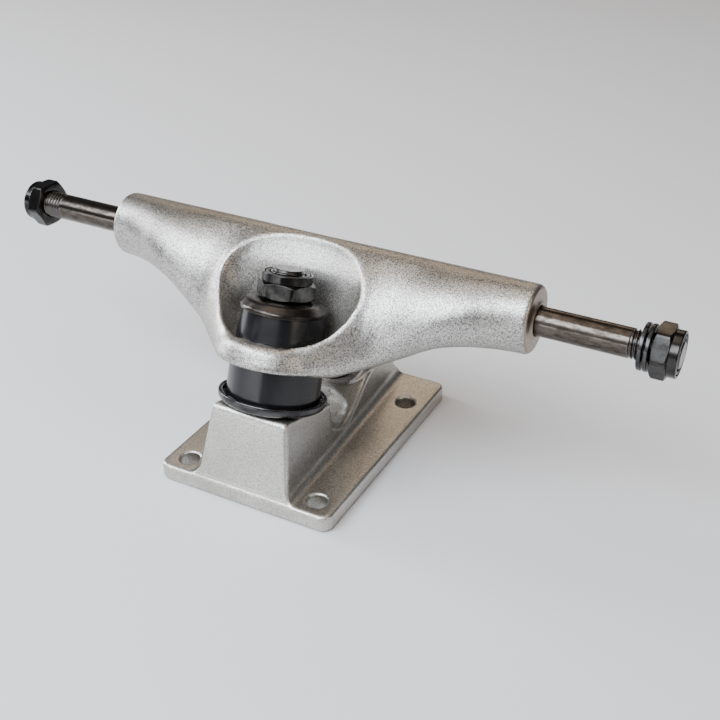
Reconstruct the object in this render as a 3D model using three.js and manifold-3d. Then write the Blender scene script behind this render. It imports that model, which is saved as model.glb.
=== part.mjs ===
// Skateboard truck: a cast hanger that steers on a kingpin between two rubber bushings and in a pivot cup.
// Millimetres. +X runs along the axle, -Y is the kingpin end, +Y the pivot end, +Z points away from the deck.
// The origin is the centre of the deck bolt pattern, on the face that lies against the deck.
import * as THREE from 'three';
import { mergeVertices } from 'three/addons/utils/BufferGeometryUtils.js';
import Module from 'manifold-3d';

const wasm = await Module();
wasm.setup();

// Facets of round pieces
const fineSides = 36;
const roundSides = 28;
const smallSides = 22;

// Clearances
const seatGap = 0.3;        // between pieces that rest on each other in a tilted stack
const castInGap = 0.15;     // between the axle and the bore that it is cast into
const overrun = 1;          // how far a cutting shape runs past the face that it opens

// Baseplate
const deckHoleAcross = 41.28;
const deckHoleAlong = 53.98;
const deckHoleRadius = 2.92;
const holeToSide = 3.64;      // metal between a deck hole and the plate's side, front and rear
const holeToFront = 3.09;
const holeToRear = 12.59;
const plateWidth = deckHoleAcross + 2 * (deckHoleRadius + holeToSide);
const plateFront = deckHoleAlong / 2 + deckHoleRadius + holeToFront;
const plateRear = deckHoleAlong / 2 + deckHoleRadius + holeToRear;
const plateThick = 5;
const plateCorner = 3;
const plateEdge = 0.8;

// Rib that carries the kingpin tower and the pivot housing
const holeToRibFront = 3.32;  // metal left flat between a deck hole and the rib
const holeToRibRear = 6.42;
const ribHalfFront = deckHoleAcross / 2 - deckHoleRadius - holeToRibFront;
const ribHalfRear = deckHoleAcross / 2 - deckHoleRadius - holeToRibRear;
const ribDraft = THREE.MathUtils.degToRad(6.8);
const ribEdge = 1;
const ribFillet = 2.4;
const towerFrontRun = 5.5;  // how far the tower's front face leans back from its foot to the seat
const towerRound = 2.4;       // rounding between its front face and the seat
const valleyHeight = 8.3;
const valleyFront = 3;
const valleyRadius = 6;
const saddleRear = 19;
const saddleHeight = 14.3;
const saddleCrown = 26;
const saddleCrownHeight = 16.6;
const rearTop = 37.8;
const rearTopHeight = 12.6;
const rearFoot = 41.8;
const dishHalf = 20;            // dished ground between the side walls
const dishAlong = 12;
const dishDeep = 9;
const dishSink = 1.4;

// Kingpin, measured along its own axis from the rim of the lower cup washer
const kingpinY = -14.22;
const kingpinZ = 26.07;
const kingpinLean = THREE.MathUtils.degToRad(17.5);
const kingpinRadius = 4.75;
const kingpinHead = 14.3;   // across the flats
const kingpinHeadThick = 5.6;
const kingpinHeadBottom = -24.4;
const kingpinTop = 34.6;
const kingpinChamfer = 0.7;
const kingpinBoreGap = 0.35;
const headPocketGap = 0.5;

// Lower cup washer and lower bushing
const lowerCupRadius = 15;
const lowerCupHeight = 3;
const lowerCupWall = 1.3;
const lowerBushingRadius = 12.85;
const bushingBoreGap = 0.45;
const bushingEdge = 0.6;

// Hanger ring, along the kingpin axis
const ringBottom = 9.8;
const lowerSeat = 11.5;
const upperSeat = 14.6;
const ringTop = 17;
const ringRadius = 17.6;
const ringBatter = THREE.MathUtils.degToRad(15);   // how far its side leans in
const ringFall = THREE.MathUtils.degToRad(20);     // and its top falls outwards
const ringEdge = 1.5;
const ringClimbShare = 0.6;    // how steeply its top climbs from the front towards the webs
const ringClimbReach = 8;
const ringSink = 0.4;          // how far the webs' fillet lies inside the ring's own faces
const ringHoleRadius = 6.6;
const lowerSeatGap = 0.6;

// Upper bushing, cup washer and nut
const upperBushingBase = 12.1;
const upperBushingTop = 10.7;
const upperSeatRadius = 12.6;
const upperCupRim = 23.3;
const upperCupDepth = 1.7;
const upperCupThick = 1.5;
const upperCupRadius = 11.9;
const upperCupWall = 0.8;
const upperCupCrown = 9.9;
const nutFlats = 14.3;
const nutHexHeight = 4.5;
const nutCollarHeight = 2.2;
const nutCollarRadius = 6.8;
const nutTurn = THREE.MathUtils.degToRad(-17);
const nutChamfer = 0.9;
const insertThick = 0.95;
const insertDepth = 2.2;

// Hanger beam and axle
const axleY = 10.8;
const axleZ = 53;
const hangerHalf = 64.5;
const beamRadius = 9.35;
const beamDepthShare = 0.945;   // the beam is a little shallower than it is tall
const beamChamfer = 0.7;
const endBossRadius = 4.8;
const endBossLength = 0.9;
const axleRadius = 3.97;
const axleHalf = 101.6;
const axleShoulder = 88.8;
const threadRadius = 3.78;
const axleChamfer = 0.7;

// Webs that sweep from the ring's sides up into the beam. Each is a string of discs from the beam to a toe.
const webStart = 14.5;          // distance from the middle at which the web leaves the ring
const webEnd = 64;              // and at which it has run into the beam
const toeForward = 22.2;        // from the axle to the toe's centre at the ring's side
const toeDown = 13.7;
const toeRadius = 3.4;
const webForwardShares = [1.15, 1, 0.76, 0.59, 0.48, 0.38, 0.265, 0.122, 0.03, 0];
const webDownShares = [0.92, 1, 0.9, 0.65, 0.38, 0.17, 0.07, 0.03, 0.01, 0];
const webBulge = 3.4;            // how far the webs' front swells past a straight line
const webBlend = 5;
const coreShare = 0.45;         // where each outline is traced from, on the way from the beam to the toe

// Pocket round the nut
const pocketMouthHalf = 21.7;
const pocketFlareRise = 19.4;
const pocketFront = 12.2;
const pocketBack = 12.7;
const pocketFrontSquareness = 2.5;
const pocketBackSquareness = 1.9;
const pocketSettleShare = 0.17; // of the flare's height, over which the seat's circle takes the pocket's form
const pocketWall = 1.5;         // metal left in front of the axle
const pocketAxleWave = 4.6;     // how far along the kingpin the wall swells round the axle
const pocketTopRise = 50;

// Pivot
const pivotRise = THREE.MathUtils.degToRad(30);
const pivotReach = 35.7;        // from the ring's centre to the face of the pivot housing
const housingRadius = 10.9;
const housingLength = 14;
const housingRound = 4;
const housingEaseShare = 0.3;   // of the rounding, where its back rim is cut in two flats
const cupRadius = 7.6;
const cupDepth = 10.2;
const cupFloor = 1.4;
const cupFlangeRadius = 8.3;
const cupFlangeThick = 1;
const spotFaceGap = 0.6;
const noseRadius = 6.1;
const noseTip = 8.4;            // how far the nose reaches past the housing's face
const neckRadius = 6.9;
const neckStart = 5;            // from the housing's face, along the pivot axis
const neckBend = 11.5;
const neckRootBack = 1.5;       // from the axle, towards the ring
const neckRootDown = 9;
const neckRootHalf = 14;        // half of the neck's width where it runs into the beam
const neckRootDeep = 9;

// Axle nuts and speed washers
const axleNutFlats = 12.7;
const axleNutHexHeight = 4.4;
const axleNutCollarHeight = 2.2;
const axleNutCollarRadius = 6.05;
const axleNutChamfer = 0.7;
const axleNutEnd = 0.2;         // from the nut's outer face to the axle's end
const axleInsertThick = 0.9;
const axleInsertDepth = 1.5;
const speedWasherRadius = 6.1;
const speedWasherThick = 1.1;
const speedWasherGap = 0.45;
const speedWasherBoreGap = 0.4;

// Finishes
const castSilver = new THREE.MeshStandardMaterial({ color: 0xb9b6b0, roughness: 0.42, metalness: 1 });
const satinSilver = new THREE.MeshStandardMaterial({ color: 0xb3b0aa, roughness: 0.36, metalness: 1 });
const darkSteel = new THREE.MeshStandardMaterial({ color: 0x55504a, roughness: 0.32, metalness: 1 });
const blackSteel = new THREE.MeshStandardMaterial({ color: 0x1d1c1d, roughness: 0.28, metalness: 0.9 });
const brownSteel = new THREE.MeshStandardMaterial({ color: 0x39322c, roughness: 0.34, metalness: 0.9 });
const blackRubber = new THREE.MeshStandardMaterial({ color: 0x17181a, roughness: 0.3, metalness: 0 });
const blackNylon = new THREE.MeshStandardMaterial({ color: 0x232325, roughness: 0.5, metalness: 0 });

// Frames of the kingpin, whose +Z is the kingpin's axis, and of the pivot, whose +Z points at the ring
const kingpinFrame = new THREE.Matrix4().makeRotationX(-kingpinLean).setPosition(0, kingpinY, kingpinZ);
const intoKingpin = kingpinFrame.clone().invert();
const ringCentre = new THREE.Vector3(0, 0, (lowerSeat + upperSeat) / 2).applyMatrix4(kingpinFrame);
const pivotTilt = Math.PI / 2 - pivotRise;
const pivotDirection = new THREE.Vector3(0, -Math.cos(pivotRise), Math.sin(pivotRise));
const pivotFace = ringCentre.clone().addScaledVector(pivotDirection, -pivotReach);
const pivotFrame = new THREE.Matrix4().makeRotationX(pivotTilt).setPosition(pivotFace);

// Solids from closed meshes
function toSolid(geometry) {
  const bare = new THREE.BufferGeometry();
  bare.setAttribute('position', geometry.getAttribute('position').clone());
  if (geometry.index) {
    bare.setIndex(geometry.index.clone());
  }
  const merged = mergeVertices(bare, 1e-4);
  const places = merged.getAttribute('position');
  const corners = Array.from(merged.index.array);
  const kept = [];
  for (let i = 0; i < corners.length; i += 3) {
    const [a, b, c] = corners.slice(i, i + 3);
    if (a !== b && b !== c && c !== a) {
      kept.push([a, b, c]);
    }
  }
  const at = (i) => new THREE.Vector3().fromBufferAttribute(places, i);
  const sixVolumes = kept.reduce((sum, [a, b, c]) => sum + at(a).dot(at(b).cross(at(c))), 0);
  const triVerts = sixVolumes < 0 ? kept.flatMap(([a, b, c]) => [a, c, b]) : kept.flat();
  const mesh = new wasm.Mesh({
    numProp: 3,
    vertProperties: new Float32Array(places.array),
    triVerts: new Uint32Array(triVerts),
  });
  return new wasm.Manifold(mesh);
}

function toGeometry(solid) {
  const mesh = solid.getMesh();
  const geometry = new THREE.BufferGeometry();
  geometry.setAttribute('position', new THREE.BufferAttribute(new Float32Array(mesh.vertProperties), 3));
  geometry.setIndex(Array.from(mesh.triVerts));
  geometry.computeVertexNormals();
  return geometry;
}

// A solid skin over a row of rings that have equally many points
function skin(rings) {
  const count = rings[0].length;
  const places = rings.flat().flatMap((p) => [p.x, p.y, p.z]);
  const faces = [];
  for (let r = 0; r + 1 < rings.length; r += 1) {
    for (let i = 0; i < count; i += 1) {
      const a = r * count + i;
      const b = r * count + ((i + 1) % count);
      faces.push(a, b, a + count, b, b + count, a + count);
    }
  }
  const lastRing = (rings.length - 1) * count;
  for (const [ring, first] of [[rings[0], 0], [rings[rings.length - 1], lastRing]]) {
    const middle = ring.reduce((sum, p) => sum.add(p), new THREE.Vector3()).divideScalar(count);
    const hub = places.length / 3;
    places.push(middle.x, middle.y, middle.z);
    for (let i = 0; i < count; i += 1) {
      const a = first + i;
      const b = first + ((i + 1) % count);
      faces.push(...(first === 0 ? [hub, b, a] : [hub, a, b]));
    }
  }
  const geometry = new THREE.BufferGeometry();
  geometry.setAttribute('position', new THREE.Float32BufferAttribute(places, 3));
  geometry.setIndex(faces);
  return geometry;
}

// A profile of radius and height turned about +Z
function turned(profile, sides = roundSides) {
  const points = profile.map(([radius, height]) => new THREE.Vector2(radius, height));
  return new THREE.LatheGeometry(points, sides).rotateX(Math.PI / 2);
}

function rod(radius, bottom, top, sides = smallSides) {
  return turned([[0, bottom], [radius, bottom], [radius, top], [0, top]], sides);
}

function hexagon(flats, bottom, top) {
  return turned([[0, bottom], [flats / Math.sqrt(3), bottom], [flats / Math.sqrt(3), top], [0, top]], 6);
}

function placed(geometry, frame) {
  return geometry.applyMatrix4(frame);
}

// A corner between two straight sides, rounded over an equal reach along both
function eased(before, corner, after, reach) {
  const towards = (end) => end.clone().sub(corner).setLength(reach).add(corner);
  return new THREE.QuadraticBezierCurve(towards(before), corner, towards(after)).getPoints(3);
}

function shareAt(shares, place) {
  const spot = THREE.MathUtils.clamp(place, 0, 1) * (shares.length - 1);
  const low = Math.min(Math.floor(spot), shares.length - 2);
  const curve = [low - 1, low, low + 1, low + 2].map((i) => {
    return shares[THREE.MathUtils.clamp(i, 0, shares.length - 1)];
  });
  const t = spot - low;
  const slopeIn = (curve[2] - curve[0]) / 2;
  const slopeOut = (curve[3] - curve[1]) / 2;
  const rise = curve[2] - curve[1];
  const bend = 3 * rise - 2 * slopeIn - slopeOut;
  return curve[1] + t * (slopeIn + t * (bend + t * (slopeIn + slopeOut - 2 * rise)));
}

// Baseplate
function ribHalfAt(y, z) {
  const along = (y + plateFront) / (plateFront + plateRear);
  return THREE.MathUtils.lerp(ribHalfFront, ribHalfRear, along) - (z - plateThick) * Math.tan(ribDraft);
}

function deckPlate() {
  const outline = new THREE.Shape();
  const halfWidth = plateWidth / 2 - plateEdge;
  const front = plateEdge - plateFront;
  const rear = plateRear - plateEdge;
  const bend = plateCorner - plateEdge;
  outline.absarc(halfWidth - bend, front + bend, bend, -Math.PI / 2, 0);
  outline.absarc(halfWidth - bend, rear - bend, bend, 0, Math.PI / 2);
  outline.absarc(bend - halfWidth, rear - bend, bend, Math.PI / 2, Math.PI);
  outline.absarc(bend - halfWidth, front + bend, bend, Math.PI, 1.5 * Math.PI);
  const options = {
    depth: plateThick - 2 * plateEdge, bevelEnabled: true, bevelThickness: plateEdge, bevelSize: plateEdge,
    bevelSegments: 2, curveSegments: 5,
  };
  return new THREE.ExtrudeGeometry(outline, options).translate(0, 0, plateEdge);
}

// A closed outline moved inwards by an equal distance from every side
function insetOutline(points, inset) {
  const count = points.length;
  const doubleArea = points.reduce((sum, p, i) => sum + p.cross(points[(i + 1) % count]), 0);
  const turn = Math.sign(doubleArea);
  return points.map((p, i) => {
    const before = p.clone().sub(points[(i + count - 1) % count]).normalize();
    const after = points[(i + 1) % count].clone().sub(p).normalize();
    const sideways = new THREE.Vector2(-before.y - after.y, before.x + after.x);
    const reach = 1 + before.dot(after);
    return p.clone().addScaledVector(sideways, turn * inset / reach);
  });
}

// The rib seen from the side: kingpin tower, valley, saddle and rear slope
function ribProfile() {
  const seatHeight = -lowerCupHeight - seatGap;
  const seat = (along) => {
    const point = new THREE.Vector3(0, along, seatHeight).applyMatrix4(kingpinFrame);
    return new THREE.Vector2(point.y, point.z);
  };
  const foot = plateEdge - plateFront;
  const frontAlong = (foot + towerFrontRun - seat(0).x) / Math.cos(kingpinLean);
  const seatRear = seat(lowerCupRadius - lowerCupHeight / 2);
  const footTop = new THREE.Vector2(foot, plateThick);
  const valley = new THREE.SplineCurve([
    new THREE.Vector2(valleyFront - valleyRadius, valleyHeight + valleyRadius / 2),
    new THREE.Vector2(valleyFront, valleyHeight),
    new THREE.Vector2(valleyFront + valleyRadius, valleyHeight + ribEdge),
    new THREE.Vector2(saddleRear, saddleHeight), new THREE.Vector2(saddleCrown, saddleCrownHeight),
  ]);
  const points = [
    new THREE.Vector2(foot, plateThick / 2), footTop,
    ...eased(footTop, seat(frontAlong), seatRear, towerRound), seatRear,
    ...valley.getPoints(12), new THREE.Vector2(rearTop, rearTopHeight),
    new THREE.Vector2(rearFoot, plateThick), new THREE.Vector2(rearFoot, plateThick / 2),
  ];
  return new THREE.Shape(insetOutline(points, ribEdge));
}

function rib() {
  const half = ribHalfFront - ribEdge;
  const options = {
    depth: 2 * half, bevelEnabled: true, bevelThickness: ribEdge, bevelSize: ribEdge, bevelSegments: 3,
  };
  const geometry = new THREE.ExtrudeGeometry(ribProfile(), options);
  // The extrusion runs along its own +Z, so its x, y, z become the truck's y, z, x
  geometry.translate(0, 0, -half);
  const places = geometry.getAttribute('position');
  for (let i = 0; i < places.count; i += 1) {
    const y = places.getX(i);
    const z = places.getY(i);
    const across = places.getZ(i) / ribHalfFront;
    places.setXYZ(i, across * ribHalfAt(y, Math.max(z, plateThick)), y, z);
  }
  return geometry;
}

// A concave fillet where the rib's sides and rear meet the plate
function ribSkirt() {
  const steps = 4;
  const rings = [];
  for (let level = 0; level <= steps; level += 1) {
    const turn = (level / steps) * (Math.PI / 2);
    const z = plateThick + ribFillet * (1 - Math.cos(turn));
    const spread = ribFillet * (1 - Math.sin(turn));
    const front = plateEdge - plateFront;
    const rear = Math.min(rearFoot, plateRear - plateEdge);
    const corners = [
      [-ribHalfAt(-plateFront, z) - spread, front], [ribHalfAt(-plateFront, z) + spread, front],
      [ribHalfAt(rear, z) + spread, rear], [-ribHalfAt(rear, z) - spread, rear],
    ];
    const lean = (z - plateThick) * (towerFrontRun / (kingpinZ - plateThick));
    corners[0][1] += lean;
    corners[1][1] += lean;
    corners[2][1] -= lean;
    corners[3][1] -= lean;
    rings.push(corners.map(([x, y]) => new THREE.Vector3(x, y, z)));
  }
  rings.unshift(rings[0].map((p) => new THREE.Vector3(p.x, p.y, plateThick / 2)));
  return skin(rings);
}

function pivotHousing() {
  const back = -housingLength;
  const bend = housingRadius - housingRound;
  return turned([
    [0, back], [bend, back],
    [housingRadius - housingRound * housingEaseShare, back + housingRound * housingEaseShare],
    [housingRadius, back + housingRound], [housingRadius, -ribEdge / 2], [housingRadius - ribEdge / 2, 0],
    [0, 0],
  ], fineSides);
}

function dish() {
  const from = new THREE.Vector2(valleyFront + valleyRadius, valleyHeight + ribEdge);
  const slope = new THREE.Vector2(saddleRear, saddleHeight).sub(from);
  const tilt = Math.atan2(slope.y, slope.x);
  const ball = new THREE.SphereGeometry(1, smallSides, smallSides / 2).scale(dishHalf, dishAlong, dishDeep);
  return ball.translate(0, 0, dishDeep - dishSink).rotateX(tilt).translate(0, from.x, from.y);
}

function makeBaseplate() {
  let solid = toSolid(deckPlate()).add(toSolid(rib())).add(toSolid(ribSkirt())).subtract(toSolid(dish()));
  solid = solid.add(toSolid(placed(pivotHousing(), pivotFrame)));
  for (const side of [-1, 1]) {
    for (const end of [-1, 1]) {
      const hole = rod(deckHoleRadius, -overrun, plateThick + overrun);
      hole.translate(side * deckHoleAcross / 2, end * deckHoleAlong / 2, 0);
      solid = solid.subtract(toSolid(hole));
    }
  }
  const headTop = kingpinHeadBottom + kingpinHeadThick + seatGap;
  const bore = rod(kingpinRadius + kingpinBoreGap, headTop - overrun, overrun);
  const below = -2 * kingpinZ;
  const headPocket = hexagon(kingpinHead + 2 * headPocketGap, below, headTop);
  solid = solid.subtract(toSolid(placed(bore, kingpinFrame)));
  solid = solid.subtract(toSolid(placed(headPocket, kingpinFrame)));
  const socket = rod(cupRadius + seatGap, -cupDepth - seatGap, overrun, roundSides);
  const spotFace = rod(cupFlangeRadius + spotFaceGap, 0, 2 * cupFlangeThick + neckRadius, roundSides);
  return solid.subtract(toSolid(placed(socket, pivotFrame))).subtract(toSolid(placed(spotFace, pivotFrame)));
}

// Pivot cup: a flanged thimble pressed into the housing
function makePivotCup() {
  const bore = noseRadius + seatGap;
  return turned([
    [0, -cupDepth], [cupRadius - bushingEdge, -cupDepth], [cupRadius, bushingEdge - cupDepth],
    [cupRadius, seatGap], [cupFlangeRadius, seatGap], [cupFlangeRadius, cupFlangeThick],
    [cupFlangeRadius - bushingEdge / 2, cupFlangeThick + seatGap],
    [bore + bushingEdge, cupFlangeThick + seatGap], [bore, cupFlangeThick - bushingEdge / 2],
    [bore, cupFloor - cupDepth], [0, cupFloor - cupDepth],
  ]);
}

// Hanger
function blended(a, b, reach) {
  const near = Math.max(reach - Math.abs(a - b), 0) / reach;
  return Math.min(a, b) - near * near * reach / 4;
}

// Distance outside a string of discs that runs from one centre to another and bows sideways on the way
function strung(point, to, fromRadius, toRadius, bow) {
  const steps = 20;
  const sideways = new THREE.Vector2(to.y, -to.x).normalize();
  let least = Infinity;
  for (let i = 0; i <= steps; i += 1) {
    const t = i / steps;
    const radius = THREE.MathUtils.lerp(fromRadius, toRadius, t);
    const centre = to.clone().multiplyScalar(t).addScaledVector(sideways, 4 * bow * t * (1 - t));
    least = Math.min(least, point.distanceTo(centre) - radius);
  }
  return least;
}

function webShares(x) {
  const place = (Math.abs(x) - webStart) / (webEnd - webStart);
  return { forward: shareAt(webForwardShares, place), down: shareAt(webDownShares, place) };
}

function outsideHanger(x, y, z) {
  const { forward, down } = webShares(x);
  const spot = new THREE.Vector2((y - axleY) / beamDepthShare, z - axleZ);
  const toe = new THREE.Vector2(-toeForward * forward / beamDepthShare, -toeDown * down);
  const shrunk = Math.min(Math.max(forward, down), 1);
  const toeSize = THREE.MathUtils.lerp(beamRadius, toeRadius, shrunk);
  const beam = strung(spot, toe, beamRadius, toeSize, webBulge * Math.min(forward, 1));
  if (Math.abs(x) > webEnd) {
    return beam;
  }
  const local = new THREE.Vector3(x, y, z).applyMatrix4(intoKingpin);
  const spread = Math.hypot(local.x, local.y);
  const climb = local.z - ringBottom;
  const overSide = (spread - ringRadius) * Math.cos(ringBatter) + climb * Math.sin(ringBatter) + ringEdge;
  const climbed = THREE.MathUtils.clamp(local.y + pocketFront, 0, ringClimbReach);
  const crownHeight = ringTop + ringClimbShare * climbed;
  const crown = (spread - pocketFront) * Math.sin(ringFall) + (local.z - crownHeight) * Math.cos(ringFall);
  const overEnd = Math.max(crown, -climb) + ringEdge;
  const inside = Math.min(Math.max(overSide, overEnd), 0);
  const ring = Math.hypot(Math.max(overSide, 0), Math.max(overEnd, 0)) + inside - ringEdge + ringSink;
  return blended(beam, ring, webBlend);
}

// The hanger's outline at one distance from the middle, traced inwards from outside and spaced evenly
function hangerOutline(x, points, shrink) {
  const traced = 360;
  const pull = THREE.MathUtils.smoothstep(Math.abs(x), ringRadius / 2, ringRadius);
  const { forward, down } = webShares(x);
  const coreY = THREE.MathUtils.lerp(axleY - beamRadius, axleY - coreShare * toeForward * forward, pull);
  const coreZ = THREE.MathUtils.lerp(axleZ - toeDown, axleZ - coreShare * toeDown * down, pull);
  const far = ringRadius + toeForward + beamRadius;
  const step = webBlend / 8;
  const outline = [];
  for (let i = 0; i <= traced; i += 1) {
    const turn = (i / traced) * 2 * Math.PI + Math.PI / 2;
    const gapAt = (reach) => {
      return outsideHanger(x, coreY + reach * Math.cos(turn), coreZ + reach * Math.sin(turn)) + shrink;
    };
    let out = far;
    while (gapAt(out - step) > 0) {
      out -= Math.max(step, gapAt(out) / 2);
    }
    let low = out - step;
    for (let halving = 0; halving < 12; halving += 1) {
      const middle = (low + out) / 2;
      if (gapAt(middle) > 0) {
        out = middle;
      } else {
        low = middle;
      }
    }
    outline.push(new THREE.Vector3(x, coreY + low * Math.cos(turn), coreZ + low * Math.sin(turn)));
  }
  const path = new THREE.CurvePath();
  for (let i = 0; i < traced; i += 1) {
    path.add(new THREE.LineCurve3(outline[i], outline[i + 1]));
  }
  return Array.from({ length: points }, (_, i) => path.getPointAt(i / points));
}

function hangerBody() {
  const points = 40;
  const nearStep = 2;
  const stations = [];
  for (let x = 0; x < ringRadius + 2 * nearStep; x += nearStep) {
    stations.push([x, 0]);
  }
  const wide = stations[stations.length - 1][0];
  const farSteps = 12;
  for (let i = 1; i <= farSteps; i += 1) {
    stations.push([THREE.MathUtils.lerp(wide, hangerHalf - beamChamfer, i / farSteps), 0]);
  }
  stations.push([hangerHalf, beamChamfer]);
  const right = stations.map(([x, shrink]) => hangerOutline(x, points, shrink));
  const left = right.slice(1).reverse().map((ring) => ring.map((p) => new THREE.Vector3(-p.x, p.y, p.z)));
  return skin([...left, ...right]);
}

// The ring's crisp faces: its side leans in and its top falls outwards
function ringFaces() {
  const lean = Math.tan(ringBatter);
  const fall = Math.tan(ringFall);
  const outer = (ringRadius - (ringTop - ringBottom + pocketFront * fall) * lean) / (1 - fall * lean);
  const middle = new THREE.Vector2(0, ringBottom);
  const foot = new THREE.Vector2(ringRadius, ringBottom);
  const crown = new THREE.Vector2(outer, ringTop - (outer - pocketFront) * fall);
  const lip = new THREE.Vector2(pocketFront, ringTop);
  const profile = [
    middle, ...eased(middle, foot, crown, ringEdge), ...eased(foot, crown, lip, ringEdge), lip,
    new THREE.Vector2(0, ringTop),
  ];
  return turned(profile.map((p) => p.toArray()), fineSides);
}

// The pocket widens upwards from the upper bushing's seat and keeps clear of the axle behind it
function pocket() {
  const count = 36;
  const axleLocal = new THREE.Vector3(0, axleY, axleZ).applyMatrix4(intoKingpin);
  const backAtAxle = axleLocal.y - axleRadius - castInGap - pocketWall;
  const level = (height) => {
    const climb = THREE.MathUtils.clamp((height - upperSeat) / pocketFlareRise, 0, 1);
    const flare = 1 - (1 - climb) ** 2;
    const half = THREE.MathUtils.lerp(upperSeatRadius, pocketMouthHalf, flare);
    const swell = Math.exp(-(((height - axleLocal.z) / pocketAxleWave) ** 2));
    const settle = Math.min(1, climb / pocketSettleShare);
    const pinch = (pocketBack - backAtAxle) * swell;
    const back = THREE.MathUtils.lerp(upperSeatRadius, pocketBack, settle) - pinch;
    const front = THREE.MathUtils.lerp(upperSeatRadius, pocketFront, settle);
    return Array.from({ length: count }, (_, i) => {
      const turn = (i / count) * 2 * Math.PI;
      const squareness = 2 * i < count ? pocketBackSquareness : pocketFrontSquareness;
      const power = THREE.MathUtils.lerp(2, squareness, settle);
      const across = Math.sign(Math.cos(turn)) * Math.abs(Math.cos(turn)) ** (2 / power);
      const along = Math.sign(Math.sin(turn)) * Math.abs(Math.sin(turn)) ** (2 / power);
      return new THREE.Vector3(half * across, (along > 0 ? back : front) * along, height);
    });
  };
  const steps = 14;
  const top = axleLocal.z + beamRadius + ringEdge;
  const rings = Array.from({ length: steps + 1 }, (_, i) => {
    return level(THREE.MathUtils.lerp(upperSeat, top, i / steps));
  });
  rings.push(level(top).map((p) => new THREE.Vector3(p.x, p.y, pocketTopRise + top)));
  return skin(rings);
}

function pivotNose() {
  const round = noseRadius;
  const profile = [[0, -noseTip]];
  const steps = 5;
  for (let i = 1; i <= steps; i += 1) {
    const turn = (i / steps) * (Math.PI / 2);
    profile.push([round * Math.sin(turn), round * (1 - Math.cos(turn)) - noseTip]);
  }
  profile.push([noseRadius, cupFlangeThick + 2 * seatGap], [neckRadius, neckStart]);
  profile.push([0, neckStart + noseRadius]);
  return turned(profile);
}

// The neck leaves the nose along the pivot axis, then bends up and widens into the underside of the beam
function neck() {
  const from = pivotFace.clone().addScaledVector(pivotDirection, neckStart - overrun);
  const bend = pivotFace.clone().addScaledVector(pivotDirection, neckBend);
  const root = new THREE.Vector3(0, axleY - neckRootBack, axleZ - neckRootDown);
  const path = new THREE.QuadraticBezierCurve3(from, bend, root);
  const sideways = new THREE.Vector3(1, 0, 0);
  const steps = 12;
  const rings = Array.from({ length: steps + 1 }, (_, i) => {
    const share = i / steps;
    const centre = path.getPoint(share);
    const upright = sideways.clone().cross(path.getTangent(share));
    const widen = share * share;
    const half = THREE.MathUtils.lerp(neckRadius, neckRootHalf, widen);
    const deep = THREE.MathUtils.lerp(neckRadius, neckRootDeep, widen);
    return Array.from({ length: roundSides }, (__, side) => {
      const turn = (side / roundSides) * 2 * Math.PI;
      return centre.clone().addScaledVector(sideways, half * Math.cos(turn))
        .addScaledVector(upright, deep * Math.sin(turn));
    });
  });
  return skin(rings);
}

function alongAxle(geometry) {
  return geometry.rotateY(Math.PI / 2).translate(0, axleY, axleZ);
}

function makeHanger() {
  let solid = toSolid(hangerBody()).add(toSolid(placed(ringFaces(), kingpinFrame)));
  solid = solid.add(toSolid(neck())).add(toSolid(placed(pivotNose(), pivotFrame)));
  const bossEnd = hangerHalf + endBossLength;
  solid = solid.add(toSolid(alongAxle(rod(endBossRadius, -bossEnd, bossEnd, roundSides))));
  solid = solid.subtract(toSolid(placed(pocket(), kingpinFrame)));
  const hole = rod(ringHoleRadius, ringBottom - overrun, upperSeat + overrun);
  const seat = rod(lowerBushingRadius + lowerSeatGap, ringBottom - webBlend, lowerSeat, roundSides);
  solid = solid.subtract(toSolid(placed(hole, kingpinFrame))).subtract(toSolid(placed(seat, kingpinFrame)));
  const bore = alongAxle(rod(axleRadius + castInGap, -bossEnd - overrun, bossEnd + overrun));
  return solid.subtract(toSolid(bore));
}

// Axle
function makeAxle() {
  const half = [
    [axleRadius, axleShoulder - axleChamfer], [threadRadius, axleShoulder],
    [threadRadius, axleHalf - axleChamfer], [threadRadius - axleChamfer, axleHalf], [0, axleHalf],
  ];
  const mirrored = half.map(([radius, height]) => [radius, -height]).reverse();
  return alongAxle(turned([...mirrored, ...half], smallSides));
}

// Kingpin: a hexagon-headed bolt
function makeKingpin() {
  const shank = turned([
    [0, kingpinHeadBottom + kingpinHeadThick / 2], [kingpinRadius, kingpinHeadBottom + kingpinHeadThick / 2],
    [kingpinRadius, kingpinTop - kingpinChamfer], [kingpinRadius - kingpinChamfer, kingpinTop],
    [0, kingpinTop],
  ], smallSides);
  const head = hexagon(kingpinHead, kingpinHeadBottom, kingpinHeadBottom + kingpinHeadThick);
  return toGeometry(toSolid(shank).add(toSolid(head)));
}

function makeLowerWasher() {
  const hole = kingpinRadius + kingpinBoreGap;
  const bend = lowerCupWall / 2;
  const floor = lowerCupWall - lowerCupHeight;
  const inner = lowerCupRadius - lowerCupWall;
  return turned([
    [hole, -lowerCupHeight], [lowerCupRadius - 2 * lowerCupWall, -lowerCupHeight],
    [lowerCupRadius - bend, bend - lowerCupHeight], [lowerCupRadius, floor], [lowerCupRadius, -bend / 2],
    [lowerCupRadius - bend / 2, 0], [inner + bend / 2, 0], [inner, -bend / 2], [inner, floor + bend],
    [inner - bend, floor], [hole, floor], [hole, -lowerCupHeight],
  ], fineSides);
}

function makeLowerBushing() {
  const hole = kingpinRadius + bushingBoreGap;
  const bottom = lowerCupWall - lowerCupHeight + seatGap;
  const top = lowerSeat - seatGap;
  return turned([
    [hole, bottom], [lowerBushingRadius - bushingEdge, bottom], [lowerBushingRadius, bottom + bushingEdge],
    [lowerBushingRadius, top - bushingEdge], [lowerBushingRadius - bushingEdge, top], [hole, top],
    [hole, bottom],
  ], fineSides);
}

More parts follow.
